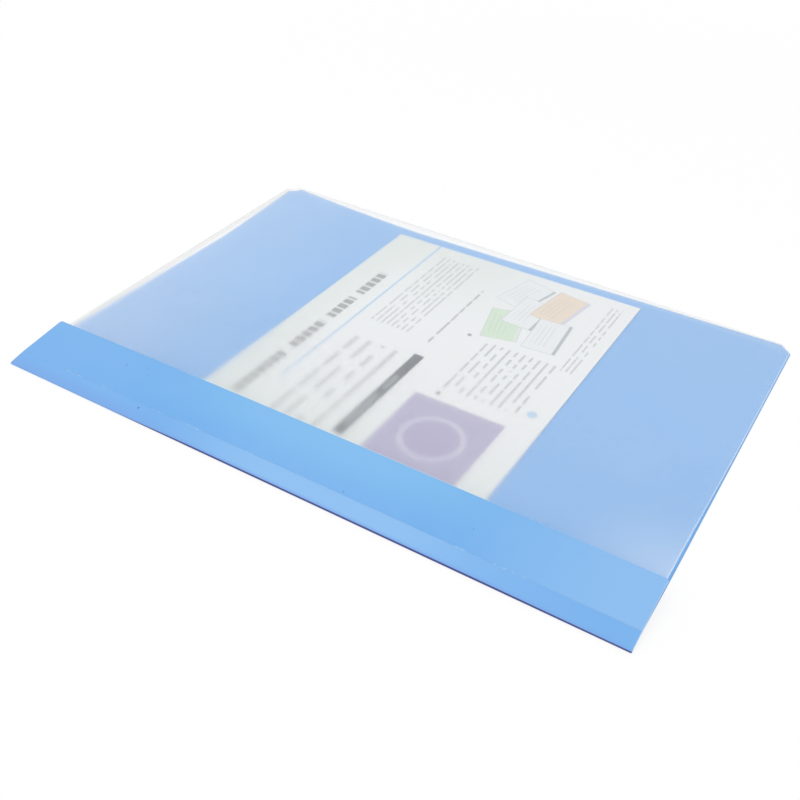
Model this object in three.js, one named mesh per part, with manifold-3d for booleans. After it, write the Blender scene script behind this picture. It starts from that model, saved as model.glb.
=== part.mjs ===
// A report file lying closed: a blue polypropylene sheet folded round the spine,
// a frosted front cover tucked under its binding flap, a two-prong fastener
// under the flap and a loose printed insert card between the covers.
// Millimetres, +X along the spine, +Y from the spine to the far edge, +Z up.
// "along" is measured from the spine's left end, "across" from the spine's outer face.
import * as THREE from 'three';
import { mergeVertices } from 'three/addons/utils/BufferGeometryUtils.js';
import Module from 'manifold-3d';

const wasm = await Module();
wasm.setup();

// The whole file
const fileLength = 307;
const fileWidth = 219;
const cornerCut = 6;

// Sheets
const blueThickness = 0.35;
const filmThickness = 0.2;
const cardThickness = 0.25;

// Clearance between pieces that lie on each other
const fitGap = 0.3;

// Spine fold and binding flap
const spineHeight = 1.3;
const foldRadius = 0.3;
const foldSplitGap = 0.2;
const spineStripWidth = 8;
const flapWidth = 25.5;
const flapCornerRadius = 2;
const stripAngleLeft = 13;
const stripAngleRight = 14;
const stripAngleBulge = 2.5;
const creaseAngle = 4;

// Curl of the back panel at its far left corner
const curlHeight = 5.5;
const curlAlongSpan = 95;
const curlAcrossSpan = 69;
const curlPower = 1.4;

// Front cover film
const filmSpineInset = 1.6;
const filmLeftHeight = 2.6;
const filmFarLeftHeight = 6.3;
const filmRightHeight = 0.75;
const filmFlapRise = 3.6;
const filmRightDrop = 0.4;
const filmRiseSpan = 70;
const filmDropSpan = 57;
const filmHumpSpan = 110;

// Insert card
const cardLength = 146.5;
const cardLeft = 84;
const cardFarInset = 7.6;
const cardToFastener = 0.9;

// Two-prong fastener
const fastenerCentre = 18;
const prongSpacing = 80;
const prongWidth = 5;
const prongThickness = 0.3;
const prongFoldedLength = 32;
const baseLength = 130;
const baseWidth = 11;
const baseThickness = 0.4;
const barLength = 136;
const barWidth = 9;
const barThickness = 0.7;
const guideWidth = 4;
const guideThickness = 0.4;
const guidePost = 0.8;
const guideFromProng = 14;

// Colours and finish
const blue = { color: 0x86b8ee, roughness: 0.38, metalness: 0 };
const frosted = { color: 0xe8f0f6, roughness: 0.45, metalness: 0 };
const paper = { color: 0xeff1f0, roughness: 0.8, metalness: 0 };
const whitePlastic = { color: 0xf0f0ec, roughness: 0.45, metalness: 0 };

const foldHeight = spineHeight / 2;
const cardBottom = blueThickness + fitGap;
const underFlap = fitGap + filmThickness / 2;

function radians(degrees) {
  return degrees * Math.PI / 180;
}

function smooth(value) {
  const t = Math.min(1, Math.max(0, value));
  return t * t * (3 - 2 * t);
}

function steps(start, end, count) {
  return Array.from({ length: count + 1 }, (_, i) => start + (end - start) * i / count);
}

// A closed sheet of even thickness. profileAt(along) gives the middle line of its
// section there, as [across, height] points of the same count for every column.
function sheetSolid(columns, profileAt, thickness) {
  const positions = [];
  const index = [];
  let count = 0;
  for (const along of columns) {
    const line = profileAt(along);
    count = line.length;
    const sides = offsetLine(line, thickness / 2);
    for (const side of sides) {
      for (const [across, height] of side) {
        positions.push(along - fileLength / 2, across - fileWidth / 2, height);
      }
    }
  }
  const at = (column, side, point) => (column * 2 + side) * count + point;
  const quad = (a, b, c, d) => index.push(a, b, c, a, c, d);
  const lastColumn = columns.length - 1;
  for (let i = 0; i < lastColumn; i += 1) {
    for (let j = 0; j < count - 1; j += 1) {
      quad(at(i, 1, j), at(i + 1, 1, j), at(i + 1, 1, j + 1), at(i, 1, j + 1));
      quad(at(i, 0, j), at(i, 0, j + 1), at(i + 1, 0, j + 1), at(i + 1, 0, j));
    }
    quad(at(i, 0, 0), at(i + 1, 0, 0), at(i + 1, 1, 0), at(i, 1, 0));
    quad(at(i, 1, count - 1), at(i + 1, 1, count - 1), at(i + 1, 0, count - 1), at(i, 0, count - 1));
  }
  for (let j = 0; j < count - 1; j += 1) {
    quad(at(0, 0, j), at(0, 1, j), at(0, 1, j + 1), at(0, 0, j + 1));
    quad(at(lastColumn, 0, j), at(lastColumn, 0, j + 1), at(lastColumn, 1, j + 1), at(lastColumn, 1, j));
  }
  const geometry = new THREE.BufferGeometry();
  geometry.setAttribute('position', new THREE.Float32BufferAttribute(positions, 3));
  geometry.setIndex(index);
  geometry.computeVertexNormals();
  return geometry;
}

// The two lines at a distance to the right and to the left of an open line,
// mitred at its corners.
function offsetLine(line, distance) {
  const normals = line.slice(1).map(([across, height], i) => {
    const run = across - line[i][0];
    const rise = height - line[i][1];
    const size = Math.hypot(run, rise);
    return [-rise / size, run / size];
  });
  const shift = line.map((_, i) => {
    const before = normals[Math.max(0, i - 1)];
    const after = normals[Math.min(normals.length - 1, i)];
    const sum = [before[0] + after[0], before[1] + after[1]];
    const scale = 2 / (sum[0] ** 2 + sum[1] ** 2);
    return [sum[0] * scale, sum[1] * scale];
  });
  return [-distance, distance].map((side) => line.map(([across, height], i) => (
    [across + shift[i][0] * side, height + shift[i][1] * side])));
}

// How far the cut corners hold a far edge back from the file's full width
function cornerHoldBack(along) {
  return Math.max(0, cornerCut - along, cornerCut - (fileLength - along));
}

// Height of the back panel's underside: flat, then curling up at the far left corner
function curlAt(along, across) {
  const t = along / curlAlongSpan + (fileWidth - across) / curlAcrossSpan;
  return t < 1 ? curlHeight * (1 - t) ** curlPower : 0;
}

function stripAngle(along) {
  const part = along / fileLength;
  const level = stripAngleLeft + (stripAngleRight - stripAngleLeft) * part;
  return radians(level + stripAngleBulge * Math.sin(Math.PI * part));
}

// Middle line of the binding flap at a developed distance from the spine
function flapPoint(along, distance) {
  const half = blueThickness / 2;
  const angle = stripAngle(along);
  const onStrip = Math.min(distance, spineStripWidth);
  const onFlap = Math.max(0, distance - spineStripWidth);
  const across = half + onStrip * Math.cos(angle) + onFlap * Math.cos(angle - radians(creaseAngle));
  const rise = onStrip * Math.sin(angle) + onFlap * Math.sin(angle - radians(creaseAngle));
  return [across, spineHeight - half + rise];
}

function flapDepth() {
  return spineStripWidth + flapWidth;
}

// The flap's inner corners are rounded
function flapHoldBack(along) {
  const toEnd = Math.min(along, fileLength - along);
  if (toEnd >= flapCornerRadius) return 0;
  return flapCornerRadius - Math.sqrt(flapCornerRadius ** 2 - (flapCornerRadius - toEnd) ** 2);
}

// Height of the flap's underside above a point across the file
function flapUnderside(along, across) {
  const angle = stripAngle(along);
  const crease = flapPoint(along, spineStripWidth);
  const slope = across < crease[0] ? angle : angle - radians(creaseAngle);
  return crease[1] + (across - crease[0]) * Math.tan(slope) - blueThickness / 2;
}

// Height of the film where it comes out from under the flap
function filmAtFlap(along) {
  const rise = filmFlapRise * smooth(along / filmRiseSpan);
  const drop = filmRightDrop * smooth((along - fileLength + filmDropSpan) / filmDropSpan);
  return filmLeftHeight + rise - drop;
}

// Middle height of the film: a hump behind the flap, falling to a sheet that
// stays straight between the raised left edge and the low right edge
function filmHeight(along, across) {
  const edge = flapPoint(along, flapDepth())[0];
  if (across < edge) {
    const sag = flapUnderside(along, edge) - underFlap - filmAtFlap(along);
    return flapUnderside(along, across) - underFlap - sag * (across / edge) ** 2;
  }
  const part = (across - edge) / (fileWidth - edge);
  const left = filmLeftHeight + (filmFarLeftHeight - filmLeftHeight) * part;
  const level = left + (filmRightHeight - left) * along / fileLength;
  const levelAtFlap = filmLeftHeight + (filmRightHeight - filmLeftHeight) * along / fileLength;
  const hump = filmAtFlap(along) - levelAtFlap;
  return level + hump * (1 - smooth((across - edge) / filmHumpSpan));
}

function backPanel() {
  const half = blueThickness / 2;
  const columns = [
    0, ...steps(cornerCut, curlAlongSpan, 12), fileLength - cornerCut, fileLength,
  ];
  const wall = [
    [half, foldHeight - foldSplitGap / 2],
    [half, half + foldRadius],
    [half + foldRadius, half],
  ];
  const flatEnd = fileWidth - curlAcrossSpan;
  const profileAt = (along) => {
    const farEdge = fileWidth - cornerHoldBack(along);
    const panel = steps(flatEnd, farEdge, 10).map((across) => [across, half + curlAt(along, across)]);
    return [...wall, ...panel];
  };
  return sheetSolid(columns, profileAt, blueThickness);
}

function bindingFlap() {
  const half = blueThickness / 2;
  const rounding = steps(0, 90, 5).map((angle) => flapCornerRadius * (1 - Math.cos(radians(angle))));
  const columns = [
    ...rounding,
    ...steps(flapCornerRadius, fileLength - flapCornerRadius, 18).slice(1, -1),
    ...rounding.map((inset) => fileLength - inset).reverse(),
  ];
  const profileAt = (along) => {
    const top = flapPoint(along, foldRadius);
    const reach = flapDepth() - flapHoldBack(along);
    return [
      [half, foldHeight + foldSplitGap / 2],
      [half, spineHeight - half - foldRadius],
      top,
      flapPoint(along, spineStripWidth),
      ...steps(spineStripWidth, reach, 3).slice(1).map((distance) => flapPoint(along, distance)),
    ];
  };
  return sheetSolid(columns, profileAt, blueThickness);
}

function clearCover() {
  const columns = [
    0, ...steps(cornerCut, fileLength - cornerCut, 20), fileLength,
  ];
  const profileAt = (along) => {
    const edge = flapPoint(along, flapDepth())[0];
    const humpEnd = edge + filmHumpSpan;
    const across = [
      ...steps(filmSpineInset, flapPoint(along, spineStripWidth)[0], 2),
      ...steps(flapPoint(along, spineStripWidth)[0], edge, 4).slice(1),
      ...steps(edge, humpEnd, 9).slice(1),
      ...steps(humpEnd, fileWidth - cornerHoldBack(along), 2).slice(1),
    ];
    return across.map((value) => [value, filmHeight(along, value)]);
  };
  return sheetSolid(columns, profileAt, filmThickness);
}

function insertCard() {
  const middle = cardBottom + cardThickness / 2;
  const farEdge = fileWidth - cardFarInset;
  const nearEdge = fastenerCentre + baseWidth / 2 + cardToFastener;
  const profileAt = () => [[nearEdge, middle], [farEdge, middle]];
  return sheetSolid([cardLeft, cardLeft + cardLength], profileAt, cardThickness);
}

// The fastener's levels, from the back panel's upper face
const baseBottom = blueThickness + fitGap;
const barBottom = baseBottom + baseThickness + fitGap;
const prongBottom = barBottom + barThickness + fitGap;
const guideBottom = prongBottom + prongThickness + fitGap;

function asSolid(geometry) {
  const bare = geometry.clone();
  bare.deleteAttribute('normal');
  bare.deleteAttribute('uv');
  const merged = mergeVertices(bare);
  return new wasm.Manifold(new wasm.Mesh({
    numProp: 3,
    vertProperties: new Float32Array(merged.attributes.position.array),
    triVerts: new Uint32Array(merged.index.array),
  }));
}

function asGeometry(solid) {
  const mesh = solid.getMesh();
  const geometry = new THREE.BufferGeometry();
  geometry.setAttribute('position', new THREE.Float32BufferAttribute(mesh.vertProperties, 3));
  geometry.setIndex(new THREE.BufferAttribute(new Uint32Array(mesh.triVerts), 1));
  geometry.computeVertexNormals();
  return geometry;
}

// A flat strip with round ends and its lower face at the given level
function roundedStrip(length, width, thickness, bottom) {
  const radius = width / 2;
  const straight = length / 2 - radius;
  const shape = new THREE.Shape();
  shape.absarc(straight, 0, radius, -Math.PI / 2, Math.PI / 2, false);
  shape.absarc(-straight, 0, radius, Math.PI / 2, Math.PI * 1.5, false);
  const options = { depth: thickness, bevelEnabled: false, curveSegments: 8 };
  return asSolid(new THREE.ExtrudeGeometry(shape, options).translate(0, 0, bottom));
}

function block(sizeX, sizeY, sizeZ, x, y, bottom) {
  const geometry = new THREE.BoxGeometry(sizeX, sizeY, sizeZ);
  return asSolid(geometry.translate(x, y, bottom + sizeZ / 2));
}

// Base strip with two prongs that stand up through the bar and lie folded inwards on it
function fastenerBase() {
  let solid = roundedStrip(baseLength, baseWidth, baseThickness, baseBottom);
  const standing = prongBottom + prongThickness - baseBottom;
  for (const side of [-1, 1]) {
    const root = side * prongSpacing / 2;
    const foldedMiddle = root - side * prongFoldedLength / 2;
    solid = solid.add(block(prongThickness, prongWidth, standing, root, 0, baseBottom));
    solid = solid.add(block(prongFoldedLength, prongWidth, prongThickness, foldedMiddle, 0, prongBottom));
  }
  return asGeometry(solid);
}

// Bar with a slot for each prong and a guide that holds each folded prong down
function compressorBar() {
  let solid = roundedStrip(barLength, barWidth, barThickness, barBottom);
  const slotLength = prongThickness + 2 * fitGap;
  const slotWidth = prongWidth + 2 * fitGap;
  const postMiddle = slotWidth / 2 + guidePost / 2;
  const postHeight = guideBottom + guideThickness - barBottom;
  for (const side of [-1, 1]) {
    const root = side * prongSpacing / 2;
    const guide = root - side * guideFromProng;
    const slot = block(slotLength, slotWidth, 3 * barThickness, root, 0, barBottom - barThickness);
    solid = solid.subtract(slot);
    for (const y of [-postMiddle, postMiddle]) {
      solid = solid.add(block(guideWidth, guidePost, postHeight, guide, y, barBottom));
    }
    const bridge = slotWidth + 2 * guidePost;
    solid = solid.add(block(guideWidth, bridge, guideThickness, guide, 0, guideBottom));
  }
  return asGeometry(solid);
}

function piece(name, geometry, finish) {
  const material = new THREE.MeshStandardMaterial(finish);
  const mesh = new THREE.Mesh(geometry, material);
  mesh.name = name;
  return mesh;
}

const back = new THREE.Group();
back.add(piece('back_panel', backPanel(), blue));
back.add(piece('insert_card', insertCard(), paper));

const fastener = new THREE.Group();
fastener.position.y = fastenerCentre - fileWidth / 2;
fastener.add(piece('fastener_base', fastenerBase(), whitePlastic));
fastener.add(piece('compressor_bar', compressorBar(), whitePlastic));
back.add(fastener);

const front = new THREE.Group();
front.add(piece('binding_flap', bindingFlap(), blue));
front.add(piece('clear_cover', clearCover(), frosted));

const group = new THREE.Group();
group.add(back, front);

export default group;
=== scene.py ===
import math

import bmesh
import bpy
from mathutils import Matrix, Vector


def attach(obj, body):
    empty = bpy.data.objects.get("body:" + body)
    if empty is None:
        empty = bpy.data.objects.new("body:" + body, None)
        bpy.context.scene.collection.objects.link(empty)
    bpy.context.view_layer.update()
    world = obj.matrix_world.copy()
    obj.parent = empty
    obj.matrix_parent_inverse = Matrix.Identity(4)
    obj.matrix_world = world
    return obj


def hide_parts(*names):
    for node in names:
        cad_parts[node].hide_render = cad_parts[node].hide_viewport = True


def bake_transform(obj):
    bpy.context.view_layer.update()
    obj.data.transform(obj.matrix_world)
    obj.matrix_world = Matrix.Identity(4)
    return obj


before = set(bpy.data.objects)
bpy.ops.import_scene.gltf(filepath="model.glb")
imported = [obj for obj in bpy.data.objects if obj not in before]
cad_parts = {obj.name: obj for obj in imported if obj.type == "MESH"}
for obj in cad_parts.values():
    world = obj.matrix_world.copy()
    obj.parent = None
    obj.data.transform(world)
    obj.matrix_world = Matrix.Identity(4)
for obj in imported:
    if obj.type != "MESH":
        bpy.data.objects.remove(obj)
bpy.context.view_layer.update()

mm = 0.001
uvScale = 100.0  # millimetres in one unit of the sheets' UV map
sharpAngle = math.radians(40)

# All lengths below are in millimetres. "along" runs from the spine's left end,
# "across" from the spine's outer face, and "height" from the table.
fileSize = {"along": 307.0, "across": 219.0, "cornerCut": 6.0}


def smoothStep(value):
    t = min(1.0, max(0.0, value))
    return t * t * (3 - 2 * t)


def steps(start, end, count):
    return [start + (end - start) * i / count for i in range(count + 1)]


# Sheets are built as a grid of columns along the spine, each with its own section

def offsetLine(line, distance):
    normals = []
    for (v0, z0), (v1, z1) in zip(line, line[1:]):
        size = math.hypot(v1 - v0, z1 - z0)
        normals.append(((z0 - z1) / size, (v1 - v0) / size))
    shifted = []
    for i, (v, z) in enumerate(line):
        before = normals[max(0, i - 1)]
        after = normals[min(len(normals) - 1, i)]
        sumV, sumZ = before[0] + after[0], before[1] + after[1]
        scale = 2 * distance / (sumV ** 2 + sumZ ** 2)
        shifted.append((v + sumV * scale, z + sumZ * scale))
    return shifted


def buildSheet(name, columns, sectionAt, thickness):
    # sectionAt(along) gives the section's middle line and how far each of its points
    # lies from the sheet's first edge, measured on the flat sheet
    points, sheetPlace, sheetSide = [], [], []
    count = 0
    for along in columns:
        line, developed = sectionAt(along)
        count = len(line)
        for side in (-1, 1):
            for (across, height), far in zip(offsetLine(line, side * thickness / 2), developed):
                x = along - fileSize["along"] / 2
                y = across - fileSize["across"] / 2
                points.append((x * mm, y * mm, height * mm))
                sheetPlace.append((along / uvScale, far / uvScale))
                sheetSide.append((max(0, side), 0))

    def at(column, side, point):
        return (column * 2 + side) * count + point

    faces = []
    last = len(columns) - 1
    for i in range(last):
        for j in range(count - 1):
            faces.append((at(i, 1, j), at(i + 1, 1, j), at(i + 1, 1, j + 1), at(i, 1, j + 1)))
            faces.append((at(i, 0, j), at(i, 0, j + 1), at(i + 1, 0, j + 1), at(i + 1, 0, j)))
        faces.append((at(i, 0, 0), at(i + 1, 0, 0), at(i + 1, 1, 0), at(i, 1, 0)))
        end = count - 1
        faces.append((at(i, 1, end), at(i + 1, 1, end), at(i + 1, 0, end), at(i, 0, end)))
    for j in range(count - 1):
        faces.append((at(0, 0, j), at(0, 1, j), at(0, 1, j + 1), at(0, 0, j + 1)))
        faces.append((at(last, 0, j), at(last, 0, j + 1), at(last, 1, j + 1), at(last, 1, j)))
    mesh = bpy.data.meshes.new(name)
    mesh.from_pydata(points, [], faces)
    mesh.validate()
    for layer, values in (("sheetPlace", sheetPlace), ("sheetSide", sheetSide)):
        uv = mesh.uv_layers.new(name=layer)
        for loop in mesh.loops:
            uv.data[loop.index].uv = values[loop.vertex_index]
    mesh.shade_smooth()
    mesh.set_sharp_from_angle(angle=sharpAngle)
    piece = bpy.data.objects.new(name, mesh)
    bpy.context.scene.collection.objects.link(piece)
    return piece


def cornerHoldBack(along):
    cut = fileSize["cornerCut"]
    return max(0.0, cut - along, cut - (fileSize["along"] - along))


# Node helpers for the materials

class Nodes:
    def __init__(self, name):
        self.material = bpy.data.materials.new(name)
        self.material.use_nodes = True
        self.tree = self.material.node_tree
        self.tree.nodes.clear()
        self.output = self.add("ShaderNodeOutputMaterial")

    def add(self, kind, **values):
        node = self.tree.nodes.new(kind)
        for key, value in values.items():
            setattr(node, key, value)
        return node

    def link(self, start, end):
        self.tree.links.new(start, end)

    def feed(self, socket, value):
        if isinstance(value, bpy.types.NodeSocket):
            self.link(value, socket)
        else:
            socket.default_value = value

    def math(self, operation, first, second=0.0, clamp=False):
        node = self.add("ShaderNodeMath", operation=operation, use_clamp=clamp)
        self.feed(node.inputs[0], first)
        self.feed(node.inputs[1], second)
        return node.outputs[0]

    def plus(self, first, second):
        return self.math("ADD", first, second)

    def minus(self, first, second):
        return self.math("SUBTRACT", first, second)

    def times(self, first, second):
        return self.math("MULTIPLY", first, second)

    def away(self, value, centre):
        return self.math("ABSOLUTE", self.minus(value, centre))

    def distance(self, dx, dy):
        squares = self.plus(self.math("POWER", dx, 2.0), self.math("POWER", dy, 2.0))
        return self.math("SQRT", squares)

    def ramp(self, value, low, high, toLow=0.0, toHigh=1.0):
        node = self.add("ShaderNodeMapRange", interpolation_type="SMOOTHSTEP")
        for socket, number in zip(node.inputs, (value, low, high, toLow, toHigh)):
            self.feed(socket, number)
        return node.outputs[0]

    def mix(self, factor, first, second):
        node = self.add("ShaderNodeMix", data_type="RGBA")
        self.feed(node.inputs[0], factor)
        self.feed(node.inputs[6], first)
        self.feed(node.inputs[7], second)
        return node.outputs[2]

    def noise(self, place, scale, detail, roughness=0.5):
        node = self.add("ShaderNodeTexNoise")
        self.link(place, node.inputs["Vector"])
        node.inputs["Scale"].default_value = scale
        node.inputs["Detail"].default_value = detail
        node.inputs["Roughness"].default_value = roughness
        return node.outputs["Fac"]

    def sheetPlace(self):
        # the UV place, and the distances along and across the flat sheet in millimetres
        place = self.add("ShaderNodeUVMap", uv_map="sheetPlace").outputs[0]
        parts = self.add("ShaderNodeSeparateXYZ")
        self.link(place, parts.inputs[0])
        along = self.times(parts.outputs[0], uvScale)
        developed = self.times(parts.outputs[1], uvScale)
        return place, along, developed

    def sheetSide(self):
        # 1 on the outside of the blue sheet or on top of the card, 0 on the other face
        parts = self.add("ShaderNodeSeparateXYZ")
        self.link(self.add("ShaderNodeUVMap", uv_map="sheetSide").outputs[0], parts.inputs[0])
        return parts.outputs[0]

    def bump(self, height, depth, strength, normal=None):
        # the depth is in millimetres
        node = self.add("ShaderNodeBump")
        self.link(height, node.inputs["Height"])
        node.inputs["Distance"].default_value = depth * mm
        node.inputs["Strength"].default_value = strength
        if normal is not None:
            self.link(normal, node.inputs["Normal"])
        return node.outputs[0]

    def shader(self, **values):
        node = self.add("ShaderNodeBsdfPrincipled")
        for key, value in values.items():
            self.feed(node.inputs[key.replace("_", " ")], value)
        return node

    def choose(self, factor, first, second):
        # the second shader where the factor is 1, and the result goes to the output
        both = self.add("ShaderNodeMixShader")
        for socket, value in zip(both.inputs, (factor, first, second)):
            self.link(value, socket)
        self.link(both.outputs[0], self.output.inputs[0])


# Blue polypropylene sheet: back panel, spine fold, creased strip and binding flap in one

blueSheet = {
    "thickness": 0.35,
    "spineHeight": 1.3,
    "stripWidth": 8.0,
    "flapWidth": 24.9,
    "flapCornerRadius": 1.2,
    "stripAngleLeft": 13.0,
    "stripAngleRight": 14.0,
    "stripAngleBulge": 2.5,
    "creaseAngle": 4.0,
    "creaseSoftness": 0.8,
    "rightTaper": 0.3,
    "taperAcross": 50.0,
    "flapFlare": 0.6,
    "curlHeight": 5.5,
    "curlAlongSpan": 95.0,
    "curlAcrossSpan": 69.0,
    "curlPower": 1.4,
    "curlDrawIn": 2.0,
    "blendHeight": 0.40,
    "blendLean": -0.03,
    "blendSpan": 0.5,
    # the mesh: how many rows and columns in each part, and single ones by their place
    "curlRows": 26,
    "panelRows": 12,
    "backRows": (6.0, 3.0, 1.6),
    "bendRows": 12,
    "stripRows": (1.6, 3.0, 5.0),
    "flapRows": 8,
    "cornerColumns": 6,
    "cutColumn": 4.0,
    "curlColumns": 30,
    "plainColumns": 50,
    "colour": (0.170, 0.430, 0.835, 1),
    "deepColour": (0.145, 0.405, 0.820, 1),
    "backColour": (0.180, 0.460, 0.865, 1),
    # random pale clouds, and the painted sheen on the strip and the flap
    "paleAndSheenColour": (0.250, 0.505, 0.865, 1),
    "innerColour": (0.235, 0.545, 0.865, 1),
    # painted shade beside the spine fold, and on the fold's lower half
    "footShadeColour": (0.175, 0.365, 0.770, 1),
    "foldShade": (0.040, 0.052, 0.250, 1),
    "edgeColour": (0.480, 0.680, 0.940, 1),
    "gleamColour": (0.760, 0.880, 0.985, 1),
    "endColour": (0.150, 0.300, 0.620, 1),
    "scuffColour": (0.620, 0.800, 0.980, 1),
    "speckColour": (0.030, 0.080, 0.250, 1),
    "roughness": 0.40,
    "cloudRoughness": 0.10,
    "rubRoughness": 0.08,
    "ior": 1.49,
    # noises: their scale, the part of the noise that shows, and how much of it
    "broadScale": 1.6,
    "broadRange": (0.30, 0.70),
    "cloudScale": 11.0,
    "cloudRange": (0.45, 0.75),
    "cloudShare": 0.06,
    "scuffScale": 9.0,
    "scuffRange": (0.54, 0.70),
    "scuffShare": 0.70,
    "scuffLeast": 0.03,
    "rubScale": 24.0,
    "rubRange": (0.60, 0.75),
    "rubStretch": (1.0, 9.0, 1.0),
    "rubTurn": (0, 0, 0.5),
    "grainScale": 900.0,
    "grainDepth": 0.03,
    "grainStrength": 0.35,
    "waveScale": 5.0,
    "waveDepth": 0.6,
    "waveStrength": 0.25,
    "creaseDepth": 0.15,
    "creaseStrength": 0.8,
    # tones as ramps: where one starts and ends, and its strength at both. These run
    # along the file, three of them to both sides of a middle place
    "innerMiddle": 165.0,
    "innerAlong": (30.0, 110.0, 1.0, 0.25),
    # where the painted sheen lies: on the strip at mid length, and at the flap's ends
    "stripSheenMiddle": 178.0,
    "stripSheenAlong": (25.0, 90.0, 0.95, 0.20),
    "gleamMiddle": 158.0,
    "gleamAlong": (65.0, 95.0, 1.0, 0.0),
    "flapSheenLeft": (5.0, 45.0, 0.20, 0.0),
    "flapSheenRight": (225.0, 300.0, 0.0, 0.95),
    "footAlong": (55.0, 125.0, 1.0, 0.0),
    # how far above the spine the fold's shade ends, less the second value
    "shadeTop": (25.0, 115.0, -0.35, 0.62),
    "shadeDrop": (240.0, 307.0, 0.0, 0.12),
    # these run from the spine over the strip and the flap, with the back below zero
    "backTone": (-7.0, -3.0, 0.8, 0.0),
    "innerStart": 1.0,
    "innerShare": 0.60,
    "stripStart": (0.0, 1.5),
    "footStart": (-0.5, 0.0),
    "footShadeFromSpine": (1.0, 9.0, 0.55, 0.0),
    "foldStart": (-1.2, -0.7),
    "creasePlace": 1.0,  # past the strip's width, as the sheet's turn is longer
    "flapEdgePlace": 0.8,
    "creaseBlur": 0.25,
    "creaseLine": (0.0, 0.35, 1.0, 0.0),
    # these run from the top of the fold's shade
    "shadeEnd": (-0.12, 0.12, 1.0, 0.0),
    "nearFoldShade": (0.2, 1.7, 0.60, 0.0),
    # and these from the sheet's cut edges inwards
    "rim": (0.1, 0.45, 0.50, 0.0),
    "rightRimStart": (0.0, 2.0),
    "gleam": (0.2, 0.7, 0.75, 0.0),
    "leftRim": (0.1, 0.5, 0.60, 0.0),
    "backRim": (0.3, 0.9, 0.45, 0.0),
    "backRimEnd": (-2.0, 0.0, 1.0, 0.0),
}
# small dark specks on the flap, measured from the spine on the flat sheet
specks = (
    {"along": 52.0, "fromSpine": 24.5, "radius": 0.45, "strength": 0.55},
    {"along": 75.5, "fromSpine": 6.5, "radius": 0.70, "strength": 0.60},
    {"along": 62.0, "fromSpine": 27.5, "radius": 0.40, "strength": 0.45},
    {"along": 66.0, "fromSpine": 24.0, "radius": 0.35, "strength": 0.40},
    {"along": 121.0, "fromSpine": 30.0, "radius": 0.35, "strength": 0.35},
    {"along": 182.0, "fromSpine": 10.5, "radius": 0.45, "strength": 0.45},
    {"along": 236.0, "fromSpine": 19.0, "radius": 0.40, "strength": 0.40},
)


def curlAt(along, across):
    s = blueSheet
    t = along / s["curlAlongSpan"] + (fileSize["across"] - across) / s["curlAcrossSpan"]
    return s["curlHeight"] * (1 - t) ** s["curlPower"] if t < 1 else 0.0


def stripAngle(along):
    s = blueSheet
    part = along / fileSize["along"]
    level = s["stripAngleLeft"] + (s["stripAngleRight"] - s["stripAngleLeft"]) * part
    return math.radians(level + s["stripAngleBulge"] * math.sin(math.pi * part))


def flapPoint(along, distance):
    s = blueSheet
    half = s["thickness"] / 2
    angle = stripAngle(along)
    onStrip = min(distance, s["stripWidth"])
    onFlap = max(0.0, distance - s["stripWidth"])
    flat = angle - math.radians(s["creaseAngle"])
    across = half + onStrip * math.cos(angle) + onFlap * math.cos(flat)
    height = s["spineHeight"] - half + onStrip * math.sin(angle) + onFlap * math.sin(flat)
    return across, height


def flapHoldBack(along):
    radius = blueSheet["flapCornerRadius"]
    toEnd = min(along, fileSize["along"] - along)
    if toEnd >= radius:
        return 0.0
    return radius - math.sqrt(radius ** 2 - (radius - toEnd) ** 2)


def blueSection(along):
    s = blueSheet
    half = s["thickness"] / 2
    angle = stripAngle(along)
    # the fold is an arc that runs smoothly into the back and into the strip
    gapHeight = s["spineHeight"] - s["thickness"]
    radius = gapHeight * math.cos(angle) / (1 + math.cos(angle) - math.sin(angle))
    centre = half + radius
    farEdge = fileSize["across"] - cornerHoldBack(along)
    flatEnd = fileSize["across"] - s["curlAcrossSpan"]
    curled = steps(farEdge, flatEnd, s["curlRows"])
    line = [(across, half + curlAt(along, across)) for across in curled]
    flat = steps(flatEnd, s["backRows"][0], s["panelRows"])[1:] + list(s["backRows"][1:])
    line += [(across, half) for across in flat]
    turn = math.pi - angle
    for part in steps(0, 1, s["bendRows"]):
        around = 1.5 * math.pi - part * turn
        line.append((centre + radius * math.cos(around), centre + radius * math.sin(around)))
    reach = s["stripWidth"] + s["flapWidth"] - flapHoldBack(along)
    soft = s["creaseSoftness"]
    distances = list(s["stripRows"])
    distances += [s["stripWidth"] + shift for shift in (-soft, -soft / 3, soft / 3, soft)]
    distances += steps(s["stripWidth"] + 2 * soft, reach, s["flapRows"])
    line += [flapPoint(along, distance) for distance in distances]
    developed = [fileSize["across"] - farEdge]
    for (v0, z0), (v1, z1) in zip(line, line[1:]):
        developed.append(developed[-1] + math.hypot(v1 - v0, z1 - z0))
    return line, developed


def blueColumns():
    s = blueSheet
    length = fileSize["along"]
    cut = fileSize["cornerCut"]
    turns = steps(0, 90, s["cornerColumns"])
    rounding = [s["flapCornerRadius"] * (1 - math.cos(math.radians(turn))) for turn in turns]
    columns = rounding + [s["cutColumn"]] + steps(cut, s["curlAlongSpan"], s["curlColumns"])
    columns += steps(s["curlAlongSpan"], length - cut, s["plainColumns"])[1:]
    columns += [length - s["cutColumn"]] + [length - place for place in reversed(rounding)]
    return columns


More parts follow.
